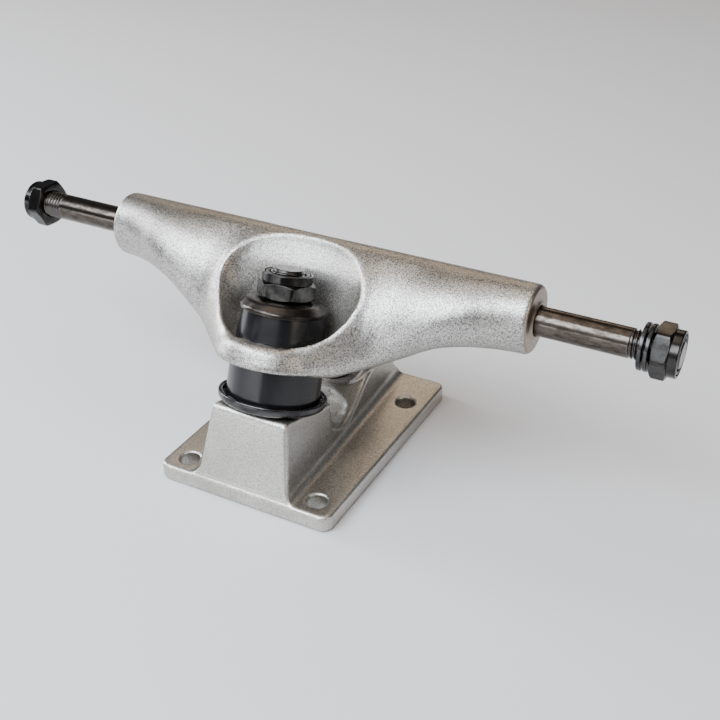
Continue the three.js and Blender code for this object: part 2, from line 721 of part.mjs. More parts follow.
function makeUpperBushing() {
  const hole = kingpinRadius + bushingBoreGap;
  const bottom = upperSeat + seatGap;
  const top = upperCupRim + upperCupDepth - seatGap;
  return turned([
    [hole, bottom], [upperBushingBase - bushingEdge, bottom], [upperBushingBase, bottom + bushingEdge],
    [upperBushingTop, top - bushingEdge], [upperBushingTop - bushingEdge, top], [hole, top], [hole, bottom],
  ], fineSides);
}

function makeUpperWasher() {
  const hole = kingpinRadius + kingpinBoreGap;
  const inner = upperCupRadius - upperCupWall;
  const under = upperCupRim + upperCupDepth;
  const top = under + upperCupThick;
  return turned([
    [hole, under], [inner - upperCupWall / 2, under], [inner, under - upperCupWall / 2], [inner, upperCupRim],
    [upperCupRadius, upperCupRim], [upperCupRadius, under],
    [upperCupRadius - upperCupWall, under + upperCupThick / 2],
    [upperCupCrown, top], [hole, top], [hole, under],
  ], fineSides);
}

// A lock nut standing on its own z = 0: a chamfered hexagon with a round collar that holds a nylon ring
function lockNut(flats, hexHeight, collarRadius, collarHeight, chamfer, hole, insertOuter, insertDeep) {
  const corner = flats / Math.sqrt(3);
  const top = hexHeight + collarHeight;
  const cone = turned([
    [0, 0], [corner - chamfer, 0], [corner, chamfer / 2], [corner, hexHeight - chamfer / 2],
    [corner - chamfer, hexHeight], [collarRadius, hexHeight], [collarRadius, top - chamfer / 2],
    [collarRadius - chamfer / 2, top], [0, top],
  ], roundSides);
  const collarZone = rod(collarRadius, hexHeight / 2, top + overrun, roundSides);
  const body = toSolid(cone).intersect(toSolid(hexagon(flats, 0, hexHeight)).add(toSolid(collarZone)));
  const bore = toSolid(rod(hole, -overrun, top + overrun));
  return body.subtract(bore.add(toSolid(rod(insertOuter, top - insertDeep, top + overrun))));
}

function nylonRing(inner, outer, height) {
  return turned([[inner, 0], [outer, 0], [outer, height], [inner, height], [inner, 0]], smallSides);
}

// A nut and its ring on the axle, drawn from the ring's outer end inwards
function axleNut(side) {
  const length = axleNutHexHeight + axleNutCollarHeight;
  const hole = threadRadius + seatGap;
  const insertOuter = hole + axleInsertThick;
  const nut = toGeometry(lockNut(
    axleNutFlats, axleNutHexHeight, axleNutCollarRadius, axleNutCollarHeight, axleNutChamfer, hole,
    insertOuter + seatGap, axleInsertDepth + seatGap,
  ));
  const ring = nylonRing(hole, insertOuter, axleInsertDepth);
  const start = axleHalf - axleNutEnd - length;
  nut.rotateZ(Math.PI / 6).rotateY(side * Math.PI / 2).translate(side * start, axleY, axleZ);
  ring.rotateY(side * Math.PI / 2).translate(side * (start + length - axleInsertDepth), axleY, axleZ);
  return [nut, ring];
}

function speedWasher(start) {
  const hole = axleRadius + speedWasherBoreGap;
  const bend = speedWasherThick / 4;
  const washer = turned([
    [hole, 0], [speedWasherRadius - bend, 0], [speedWasherRadius, bend],
    [speedWasherRadius, speedWasherThick - bend], [speedWasherRadius - bend, speedWasherThick],
    [hole, speedWasherThick], [hole, 0],
  ], smallSides);
  return alongAxle(washer).translate(start, 0, 0);
}

// Assembly
const truck = new THREE.Group();
const kingpinStack = new THREE.Group();
kingpinStack.position.set(0, kingpinY, kingpinZ);
kingpinStack.rotation.x = -kingpinLean;
const pivotSeat = new THREE.Group();
pivotSeat.position.copy(pivotFace);
pivotSeat.rotation.x = pivotTilt;
truck.add(kingpinStack, pivotSeat);

function addPiece(parent, name, geometry, material) {
  const mesh = new THREE.Mesh(geometry, material.clone());
  mesh.name = name;
  parent.add(mesh);
  return mesh;
}

addPiece(truck, 'baseplate', toGeometry(makeBaseplate()), satinSilver);
addPiece(truck, 'hanger', toGeometry(makeHanger()), castSilver);
addPiece(truck, 'axle', makeAxle(), darkSteel);
addPiece(pivotSeat, 'pivot_cup', makePivotCup(), blackRubber);
addPiece(kingpinStack, 'kingpin', makeKingpin(), blackSteel);
addPiece(kingpinStack, 'bottom_washer', makeLowerWasher(), blackSteel);
addPiece(kingpinStack, 'bottom_bushing', makeLowerBushing(), blackRubber);
addPiece(kingpinStack, 'top_bushing', makeUpperBushing(), blackRubber);
addPiece(kingpinStack, 'top_washer', makeUpperWasher(), brownSteel);

const kingpinNutBase = upperCupRim + upperCupDepth + upperCupThick + seatGap;
const kingpinNutHole = kingpinRadius + seatGap;
const kingpinInsertOuter = kingpinNutHole + insertThick;
const kingpinNut = toGeometry(lockNut(
  nutFlats, nutHexHeight, nutCollarRadius, nutCollarHeight, nutChamfer, kingpinNutHole,
  kingpinInsertOuter + seatGap, insertDepth + seatGap,
));
kingpinNut.rotateZ(nutTurn);
addPiece(kingpinStack, 'kingpin_nut', kingpinNut, blackSteel).position.z = kingpinNutBase;
const kingpinInsert = nylonRing(kingpinNutHole, kingpinInsertOuter, insertDepth);
const kingpinInsertBase = kingpinNutBase + nutHexHeight + nutCollarHeight - insertDepth;
addPiece(kingpinStack, 'kingpin_nut_insert', kingpinInsert, blackNylon).position.z = kingpinInsertBase;

for (const [end, side] of [['left', -1], ['right', 1]]) {
  const [nut, ring] = axleNut(side);
  addPiece(truck, `axle_nut_${end}`, nut, blackSteel);
  addPiece(truck, `axle_nut_${end}_insert`, ring, blackNylon);
}

const axleNutInner = axleHalf - axleNutEnd - axleNutHexHeight - axleNutCollarHeight;
const outerWasherStart = axleNutInner - speedWasherGap - speedWasherThick;
const innerWasherStart = outerWasherStart - speedWasherGap - speedWasherThick;
addPiece(truck, 'speed_washer_inner', speedWasher(innerWasherStart), blackSteel);
addPiece(truck, 'speed_washer_outer', speedWasher(outerWasherStart), blackSteel);

export default truck;
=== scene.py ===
import math

import bmesh
import bpy
import numpy as np
from mathutils import Matrix, Vector


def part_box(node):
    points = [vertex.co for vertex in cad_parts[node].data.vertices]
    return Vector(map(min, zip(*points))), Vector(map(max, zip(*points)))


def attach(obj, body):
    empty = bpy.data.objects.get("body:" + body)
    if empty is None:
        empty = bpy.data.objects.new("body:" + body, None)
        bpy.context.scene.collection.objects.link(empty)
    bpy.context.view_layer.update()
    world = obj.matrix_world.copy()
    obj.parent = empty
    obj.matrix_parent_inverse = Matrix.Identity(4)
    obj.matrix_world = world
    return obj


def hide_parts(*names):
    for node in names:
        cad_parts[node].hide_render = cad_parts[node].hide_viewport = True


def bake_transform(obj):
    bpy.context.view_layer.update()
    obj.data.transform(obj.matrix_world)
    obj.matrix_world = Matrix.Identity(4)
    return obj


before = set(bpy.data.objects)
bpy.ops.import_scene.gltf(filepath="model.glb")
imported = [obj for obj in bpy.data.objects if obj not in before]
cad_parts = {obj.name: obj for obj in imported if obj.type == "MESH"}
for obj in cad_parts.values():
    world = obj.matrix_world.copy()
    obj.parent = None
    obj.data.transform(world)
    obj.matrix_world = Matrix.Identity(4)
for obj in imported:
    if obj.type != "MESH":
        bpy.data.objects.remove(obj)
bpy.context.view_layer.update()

mm = 0.001
print("loaded", len(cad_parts), "nodes")

# Camera, matched to the photograph
cameraPlace = Vector((0.1383, -0.2246, 0.1886))
cameraLook = Vector((-0.4000, 0.7552, -0.5194))
cameraData = bpy.data.cameras.new("camera")
cameraData.lens = 54.6
cameraData.sensor_width = 36
cameraData.clip_start = 0.01
camera = bpy.data.objects.new("camera", cameraData)
camera.location = cameraPlace
camera.rotation_euler = cameraLook.to_track_quat("-Z", "Y").to_euler()
bpy.context.scene.collection.objects.link(camera)
bpy.context.scene.camera = camera

# Local frames in millimetres: each has its +Z along the axis that its pieces are turned about
kingpinLean = math.radians(17.5)
pivotRise = math.radians(30)
kingpinFrame = Matrix.Translation((0, -14.22, 26.07)) @ Matrix.Rotation(-kingpinLean, 4, "X")
pivotFrame = Matrix.Translation((0, 20.621, 20.666)) @ Matrix.Rotation(math.pi / 2 - pivotRise, 4, "X")
axleFrame = Matrix.Translation((0, 10.8, 53.0)) @ Matrix.Rotation(math.pi / 2, 4, "Y")
leftFrame = axleFrame @ Matrix.Rotation(math.pi, 4, "X")


def inMetres(points, frameOf):
    turn = np.array(frameOf.to_3x3())
    return (np.asarray(points) @ turn.T + np.array(frameOf.translation)) * mm


# Materials: how deep each bump reads in metres, and where a noise turns from its first value to its last
bumpDepth = {"wave": 0.0004, "pit": 0.00015, "grain": 0.00006, "steel": 0.00004, "soft": 0.00003}
cloudEdges = (0.35, 0.65)
blotchEdges = (0.38, 0.62)
pitRadius = 0.11
machinedFade = 0.0001
threadFade = 0.0003


def newMaterial(name):
    material = bpy.data.materials.new(name)
    material.use_nodes = True
    tree = material.node_tree
    shader = tree.nodes["Principled BSDF"]
    place = tree.nodes.new("ShaderNodeTexCoord").outputs["Object"]
    return material, tree, shader, place


def noise(tree, place, scale, detail=2.0, roughness=0.5):
    node = tree.nodes.new("ShaderNodeTexNoise")
    node.inputs["Scale"].default_value = scale
    node.inputs["Detail"].default_value = detail
    node.inputs["Roughness"].default_value = roughness
    tree.links.new(place, node.inputs["Vector"])
    return node.outputs["Fac"]


def cells(tree, place, scale, output="Color"):
    node = tree.nodes.new("ShaderNodeTexVoronoi")
    node.inputs["Scale"].default_value = scale
    tree.links.new(place, node.inputs["Vector"])
    return node.outputs[output]


def spread(tree, value, low, high, toLow, toHigh):
    node = tree.nodes.new("ShaderNodeMapRange")
    tree.links.new(value, node.inputs["Value"])
    for name, number in (("From Min", low), ("From Max", high), ("To Min", toLow), ("To Max", toHigh)):
        node.inputs[name].default_value = number
    return node.outputs["Result"]


def mixColours(tree, share, first, second):
    node = tree.nodes.new("ShaderNodeMix")
    node.data_type = "RGBA"
    tree.links.new(share, node.inputs["Factor"])
    for name, colour in (("A", first), ("B", second)):
        socket = [s for s in node.inputs if s.name == name and s.type == "RGBA"][0]
        if isinstance(colour, tuple):
            socket.default_value = (*colour, 1)
        else:
            tree.links.new(colour, socket)
    return [s for s in node.outputs if s.type == "RGBA"][0]


def bump(tree, height, strength, distance, normal=None):
    node = tree.nodes.new("ShaderNodeBump")
    node.inputs["Strength"].default_value = strength
    node.inputs["Distance"].default_value = distance
    tree.links.new(height, node.inputs["Height"])
    if normal is not None:
        tree.links.new(normal, node.inputs["Normal"])
    return node.outputs["Normal"]


# Share of the way past a height on one axis, on both sides of the middle
def pastShare(tree, place, axis, start, end):
    split = tree.nodes.new("ShaderNodeSeparateXYZ")
    tree.links.new(place, split.inputs[0])
    away = tree.nodes.new("ShaderNodeMath")
    away.operation = "ABSOLUTE"
    tree.links.new(split.outputs[axis], away.inputs[0])
    return spread(tree, away.outputs[0], start, end, 0.0, 1.0)


# One inside the near radius round a point, and nothing past the far radius
def nearShare(tree, place, middle, near, far):
    gap = tree.nodes.new("ShaderNodeVectorMath")
    gap.operation = "DISTANCE"
    tree.links.new(place, gap.inputs[0])
    gap.inputs[1].default_value = middle
    return spread(tree, gap.outputs["Value"], near, far, 1.0, 0.0)


def blendNumbers(tree, share, first, second):
    node = tree.nodes.new("ShaderNodeMix")
    tree.links.new(share, node.inputs["Factor"])
    tree.links.new(first, node.inputs[2])
    node.inputs[3].default_value = second
    return node.outputs[0]


def castMaterial(name, look):
    material, tree, shader, place = newMaterial(name)
    shader.inputs["Metallic"].default_value = 1.0
    cloud = spread(tree, noise(tree, place, look["cloudScale"], 3.0), *cloudEdges, 0.0, 1.0)
    colour = mixColours(tree, cloud, look["dark"], look["light"])
    grain = noise(tree, place, look["grainScale"], 3.0, 0.6)
    speck = spread(tree, noise(tree, place, look["speckScale"], 2.0, 0.7), *look["speckRange"], 0.0, 1.0)
    colour = mixColours(tree, speck, look["speckColour"], colour)
    if "machinedFrom" in look:
        cut = pastShare(tree, place, 0, look["machinedFrom"], look["machinedFrom"] + machinedFade)
        colour = mixColours(tree, cut, colour, look["machinedColour"])
    fleck = spread(tree, cells(tree, place, look["fleckScale"]), 0.0, 1.0, *look["roughness"])
    # Round the pocket the casting gets a rougher finish, and its colour and specks are painted lighter there:
    # painted light that brightens the pocket's shaded walls
    if "matteAndPaintedLightMiddle" in look:
        inside = nearShare(tree, place, look["matteAndPaintedLightMiddle"], *look["matteAndPaintedLightReach"])
        paintedLight = mixColours(tree, speck, look["paintedLightSpeck"], look["paintedLightColour"])
        colour = mixColours(tree, inside, colour, paintedLight)
        fleck = blendNumbers(tree, inside, fleck, look["matteRoughness"])
    pits = spread(tree, cells(tree, place, look["pitScale"], "Distance"), 0.0, pitRadius, 0.0, 1.0)
    tree.links.new(colour, shader.inputs["Base Color"])
    tree.links.new(fleck, shader.inputs["Roughness"])
    coarse = bump(tree, noise(tree, place, look["waveScale"], 2.0), look["waveStrength"], bumpDepth["wave"])
    pitted = bump(tree, pits, look["pitStrength"], bumpDepth["pit"], coarse)
    fine = bump(tree, grain, look["grainStrength"], bumpDepth["grain"], pitted)
    tree.links.new(fine, shader.inputs["Normal"])
    return material


def steelMaterial(name, look):
    material, tree, shader, place = newMaterial(name)
    shader.inputs["Metallic"].default_value = look["metallic"]
    drawn = place
    if "stretch" in look:
        mapping = tree.nodes.new("ShaderNodeMapping")
        mapping.inputs["Scale"].default_value = look["stretch"]
        tree.links.new(place, mapping.inputs["Vector"])
        drawn = mapping.outputs["Vector"]
    blotch = spread(tree, noise(tree, drawn, look["scale"], 4.0, 0.6), *blotchEdges, 0.0, 1.0)
    colour = mixColours(tree, blotch, look["dark"], look["light"])
    if "threadFrom" in look:
        cut = pastShare(tree, place, 0, look["threadFrom"], look["threadFrom"] + threadFade)
        colour = mixColours(tree, cut, colour, look["threadColour"])
    tree.links.new(colour, shader.inputs["Base Color"])
    tree.links.new(spread(tree, blotch, 0.0, 1.0, *look["roughness"]), shader.inputs["Roughness"])
    skin = bump(tree, noise(tree, place, look["skinScale"], 2.0), look["skinStrength"], bumpDepth["steel"])
    tree.links.new(skin, shader.inputs["Normal"])
    return material


def softMaterial(name, look):
    material, tree, shader, place = newMaterial(name)
    shader.inputs["Base Color"].default_value = (*look["colour"], 1)
    shader.inputs["Specular IOR Level"].default_value = look["specular"]
    dust = spread(tree, noise(tree, place, look["scale"], 3.0), *cloudEdges, *look["roughness"])
    tree.links.new(dust, shader.inputs["Roughness"])
    skin = bump(tree, noise(tree, place, look["skinScale"], 2.0), look["skinStrength"], bumpDepth["soft"])
    tree.links.new(skin, shader.inputs["Normal"])
    return material


hangerMetal = castMaterial("blasted casting", {
    "dark": (0.52, 0.50, 0.465), "light": (0.61, 0.595, 0.565), "cloudScale": 55, "grainScale": 2700,
    "grainStrength": 1.0, "fleckScale": 2200, "roughness": (0.27, 0.47), "pitScale": 420, "pitStrength": 0.5,
    "waveScale": 420, "waveStrength": 0.08, "speckScale": 3000, "speckRange": (0.39, 0.57),
    "speckColour": (0.15, 0.141, 0.13), "machinedFrom": 0.0641, "machinedColour": (0.31, 0.25, 0.20),
    # Round the pocket: a rougher finish, and colours painted lighter as painted light on its shaded walls
    "matteAndPaintedLightMiddle": (0.0, -0.004, 0.052), "matteAndPaintedLightReach": (0.0150, 0.0195), "paintedLightColour": (0.74, 0.72, 0.68),
    "paintedLightSpeck": (0.26, 0.248, 0.23), "matteRoughness": 0.58,
})
plateMetal = castMaterial("satin casting", {
    "dark": (0.52, 0.50, 0.465), "light": (0.64, 0.62, 0.58), "cloudScale": 60, "grainScale": 2700,
    "grainStrength": 0.8, "fleckScale": 2300, "roughness": (0.28, 0.44), "pitScale": 380, "pitStrength": 0.3,
    "waveScale": 300, "waveStrength": 0.08, "speckScale": 2900, "speckRange": (0.36, 0.58),
    "speckColour": (0.32, 0.305, 0.28),
})
axleSteel = steelMaterial("dark axle steel", {
    "metallic": 1.0, "dark": (0.044, 0.036, 0.030), "light": (0.100, 0.085, 0.073), "scale": 800,
    "roughness": (0.27, 0.18), "skinScale": 900, "skinStrength": 0.7, "stretch": (0.4, 1.0, 1.0),
    "threadFrom": 0.0886, "threadColour": (0.105, 0.098, 0.092),
})
blackSteel = steelMaterial("black plated steel", {
    "metallic": 1.0, "dark": (0.035, 0.035, 0.037), "light": (0.085, 0.083, 0.082), "scale": 160,
    "roughness": (0.30, 0.20), "skinScale": 1800, "skinStrength": 0.15,
})
nutSteel = steelMaterial("black chrome", {
    "metallic": 1.0, "dark": (0.022, 0.021, 0.020), "light": (0.055, 0.053, 0.051), "scale": 220,
    "roughness": (0.26, 0.16), "skinScale": 1800, "skinStrength": 0.12,
})
washerSteel = steelMaterial("dark brown plating", {
    "metallic": 0.9, "dark": (0.020, 0.017, 0.015), "light": (0.055, 0.046, 0.040), "scale": 190,
    "roughness": (0.34, 0.22), "skinScale": 1500, "skinStrength": 0.2,
})
urethane = softMaterial("black urethane", {
    "colour": (0.006, 0.006, 0.007), "specular": 0.4, "scale": 140, "roughness": (0.16, 0.28),
    "skinScale": 700, "skinStrength": 0.12,
})
cupRubber = softMaterial("black cup rubber", {
    "colour": (0.013, 0.013, 0.013), "specular": 0.45, "scale": 160, "roughness": (0.4, 0.6),
    "skinScale": 900, "skinStrength": 0.3,
})
nylon = softMaterial("dark nylon", {
    "colour": (0.022, 0.022, 0.024), "specular": 0.5, "scale": 200, "roughness": (0.35, 0.5),
    "skinScale": 900, "skinStrength": 0.1,
})
print("materials made")


fineWeld = 1e-7
castWeld = 1e-6


# Each piece takes over one node of the CAD, and rides on the body it is given, when one is given
def finish(name, mesh, material, body, node):
    piece = bpy.data.objects.new(name.replace(" ", "_"), mesh)
    bpy.context.scene.collection.objects.link(piece)
    mesh.materials.clear()
    mesh.materials.append(material)
    if body:
        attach(piece, body)
    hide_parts(node)
    return piece


def skinOf(rings, frameOf, name, looped):
    rings = np.asarray(rings)
    levels, sides = rings.shape[:2]
    points = inMetres(rings.reshape(-1, 3), frameOf)
    faces = []
    for level in range(levels if looped else levels - 1):
        here = level * sides
        above = ((level + 1) % levels) * sides
        for side in range(sides):
            beyond = (side + 1) % sides
            faces.append((here + side, here + beyond, above + beyond, above + side))
    mesh = bpy.data.meshes.new(name)
    mesh.from_pydata(points.tolist(), [], faces)
    work = bmesh.new()
    work.from_mesh(mesh)
    bmesh.ops.remove_doubles(work, verts=work.verts, dist=fineWeld)
    bmesh.ops.recalc_face_normals(work, faces=work.faces)
    work.to_mesh(mesh)
    work.free()
    mesh.shade_smooth()
    return mesh


cornerShare = 0.48   # most of an edge that one rounding may take
supportReach = 1.04  # where the support points lie, as a share of the rounding


# A profile of (radius, height, rounding) corners, with each corner rounded and backed by two support points
def rounded(corners, looped, steps=5):
    profile = []
    count = len(corners)
    for i, (radius, height, bend) in enumerate(corners):
        here = np.array((radius, height))
        if bend == 0 or (not looped and i in (0, count - 1)):
            profile.append(here)
            continue
        before = np.array(corners[i - 1][:2]) - here
        after = np.array(corners[(i + 1) % count][:2]) - here
        reach = min(bend, cornerShare * np.linalg.norm(before), cornerShare * np.linalg.norm(after))
        first = here + before / np.linalg.norm(before) * reach
        last = here + after / np.linalg.norm(after) * reach
        profile.append(here + (first - here) * supportReach)
        for step in range(steps + 1):
            share = step / steps
            profile.append((1 - share) ** 2 * first + 2 * share * (1 - share) * here + share ** 2 * last)
        profile.append(here + (last - here) * supportReach)
    return profile


def turnedRings(profile, sides):
    angles = np.linspace(0, 2 * math.pi, sides, endpoint=False)
    return [[(r * math.cos(a), r * math.sin(a), h) for a in angles] for r, h in profile]


def turnedMesh(name, corners, frameOf, sides=96, looped=True):
    return skinOf(turnedRings(rounded(corners, looped), sides), frameOf, name, looped)


hexSides = 144
nutRounds = (0.25, 0.15, 0.3)


# Distance from the middle to a hexagon's side, with slightly eased corners
def hexReach(angle, flats, ease=46):
    total = sum(max(0.0, math.cos(angle - i * math.pi / 3)) ** ease for i in range(6))
    return flats / 2 / total ** (1 / ease)


def hexRings(flats, bottom, top, faceRadius, sides, turn, slope=1.75, steps=9):
    corner = flats / math.sqrt(3)
    deep = (corner - faceRadius) / slope
    lifts = np.linspace(0, deep, steps)
    heights = [*(bottom + lifts), *(top - lifts[::-1])]
    angles = np.linspace(0, 2 * math.pi, sides, endpoint=False)
    rings = []
    for height in heights:
        cone = faceRadius + slope * min(height - bottom, top - height)
        rings.append([
            (r * math.cos(a), r * math.sin(a), height)
            for a in angles for r in [min(hexReach(a + turn, flats), cone)]
        ])
    return rings


def nutMesh(name, nut, frameOf, turn):
    face = nut["flats"] / 2 * nut["faceShare"]
    top = nut["hexHeight"] + nut["collarHeight"]
    floor = top - nut["lipDepth"]
    edge, corner, mouth = nutRounds
    inside = rounded([
        (nut["collarRadius"], nut["hexHeight"], edge), (nut["collarRadius"], top, nut["collarRound"]),
        (nut["lipRadius"], top, edge), (nut["lipRadius"], floor, corner),
        (nut["bore"], floor, corner), (nut["bore"], 0.0, mouth), (face, 0.0, 0.0),
    ], True)
    rings = hexRings(nut["flats"], 0.0, nut["hexHeight"], face, hexSides, turn)
    rings += turnedRings(inside[:-1], hexSides)
    return skinOf(rings, frameOf, name, True)


pull = 0.5


# Moves each point towards the middle of its neighbours, as far as its own share allows
def drawnTogether(values, edges, shares, passes):
    first, second = edges[:, 0], edges[:, 1]
    count = len(values)
    ties = np.maximum(np.bincount(first, minlength=count) + np.bincount(second, minlength=count), 1)
    values = values.copy()
    for _ in range(passes):
        total = np.empty_like(values)
        for axis in range(3):
            there = np.bincount(first, weights=values[second, axis], minlength=count)
            total[:, axis] = there + np.bincount(second, weights=values[first, axis], minlength=count)
        values += (total / ties[:, None] - values) * (shares * pull)[:, None]
    return values


# Evens out a skin and gives back the broad part of what that took off, so the casting keeps its size
def evened(spots, edges, shares, passes):
    drawn = drawnTogether(spots, edges, shares, passes)
    return drawn + drawnTogether(spots - drawn, edges, shares, passes) * shares[:, None]


# Points in metres, as millimetres in the kingpin's frame
def inKingpinFrame(spots):
    return (spots / mm - np.array(kingpinFrame.translation)) @ np.array(kingpinFrame.to_3x3())


def risenShare(values, start, reach):
    return np.clip((values - start) / reach, 0, 1)


def smoothShare(values, start, reach):
    share = risenShare(values, start, reach)
    return 3 * share ** 2 - 2 * share ** 3


# The pocket's wall in the kingpin's frame, brought inwards below the mouth so that it flares like a bowl
def flaredPocket(spots, normals, pocket):
    local = inKingpinFrame(spots)
    facing = normals @ np.array(kingpinFrame.to_3x3())
    away = np.hypot(local[:, 0], local[:, 1])
    outward = local[:, :2] / np.maximum(away, 0.1)[:, None]
    mouth = pocket["mouthAt"] + pocket["mouthSlope"] * local[:, 1]
    depth = (mouth - local[:, 2]) / math.hypot(1, pocket["mouthSlope"])
    inwards = -(facing[:, :2] * outward).sum(1)
    wall = risenShare(inwards, pocket["facingFrom"], pocket["facingReach"]) * (away < pocket["within"])
    share = wall * smoothShare(depth, pocket["from"], pocket["full"] - pocket["from"])
    share *= smoothShare(local[:, 2], pocket["floor"], pocket["rise"])
    side = smoothShare(away, pocket["clear"], pocket["soft"])
    local[:, :2] -= outward * (pocket["inward"] * share * side)[:, None]
    return inMetres(local, kingpinFrame)


# How far a point belongs to the rounded lip in front of the kingpin, above the ring's underside
def lipShare(spots, lip):
    forward = np.clip((lip["startsAt"] - spots[:, 1] / mm) / lip["fade"], 0, 1)
    return forward * risenShare(inKingpinFrame(spots)[:, 2], lip["above"], lip["rise"])


crispShare = 0.2


# Cast pieces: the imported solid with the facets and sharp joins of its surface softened, less so past crispFrom
def castMesh(node, voxel, passes, crispFrom, lip=None, pocket=None):
    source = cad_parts[node]
    work = bmesh.new()
    work.from_mesh(source.data)
    bmesh.ops.remove_doubles(work, verts=work.verts, dist=castWeld)
    mesh = bpy.data.meshes.new(node + " cast")
    work.to_mesh(mesh)
    work.free()
    carrier = bpy.data.objects.new(node + " carrier", mesh)
    bpy.context.scene.collection.objects.link(carrier)
    remesh = carrier.modifiers.new("remesh", "REMESH")
    remesh.mode = "VOXEL"
    remesh.voxel_size = voxel
    solid = bpy.data.meshes.new_from_object(carrier.evaluated_get(bpy.context.evaluated_depsgraph_get()))
    bpy.data.objects.remove(carrier)
    spots = np.empty(len(solid.vertices) * 3)
    solid.vertices.foreach_get("co", spots)
    spots = spots.reshape(-1, 3)
    edges = np.empty(len(solid.edges) * 2, dtype=int)
    solid.edges.foreach_get("vertices", edges)
    edges = edges.reshape(-1, 2)
    if pocket:
        normals = np.empty(len(solid.vertices) * 3)
        solid.vertices.foreach_get("normal", normals)
        spots = flaredPocket(spots, normals.reshape(-1, 3), pocket)
    softness = np.where(np.abs(spots[:, 0]) > crispFrom, crispShare, 1.0)
    spots = evened(spots, edges, softness, passes)
    if lip:
        spots = evened(spots, edges, lipShare(spots, lip), lip["passes"])
    low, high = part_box(node)
    spots = np.clip(spots, np.array(low), np.array(high))
    solid.vertices.foreach_set("co", spots.ravel())
    solid.shade_smooth()
    solid.name = node + " cast"
    print(node, "cast with", len(solid.polygons), "faces")
    return solid


baseplateCast = {"voxel": 0.00042, "passes": 4, "crispFrom": 1.0}
baseplate = finish(
    "baseplate casting", castMesh("baseplate", **baseplateCast), plateMetal, "base", "baseplate",
)
hangerCast = {
    "voxel": 0.0005, "passes": 12, "crispFrom": 0.0615,
    "lip": {"passes": 26, "startsAt": -6.0, "fade": 7.0, "above": 12.0, "rise": 2.5},
    "pocket": {
        "mouthAt": 30.3, "mouthSlope": 1.3, "from": 0.6, "full": 8.0, "floor": 17.5, "rise": 8.0,
        "inward": 1.6, "clear": 12.0, "soft": 8.0, "facingFrom": 0.15, "facingReach": 0.3, "within": 26,
    },
}
hanger = finish(
    "hanger casting", castMesh("hanger", **hangerCast), hangerMetal, "steering_hanger", "hanger",
)


crestEdges = (0.18, 0.86)
capShrink = 1.02


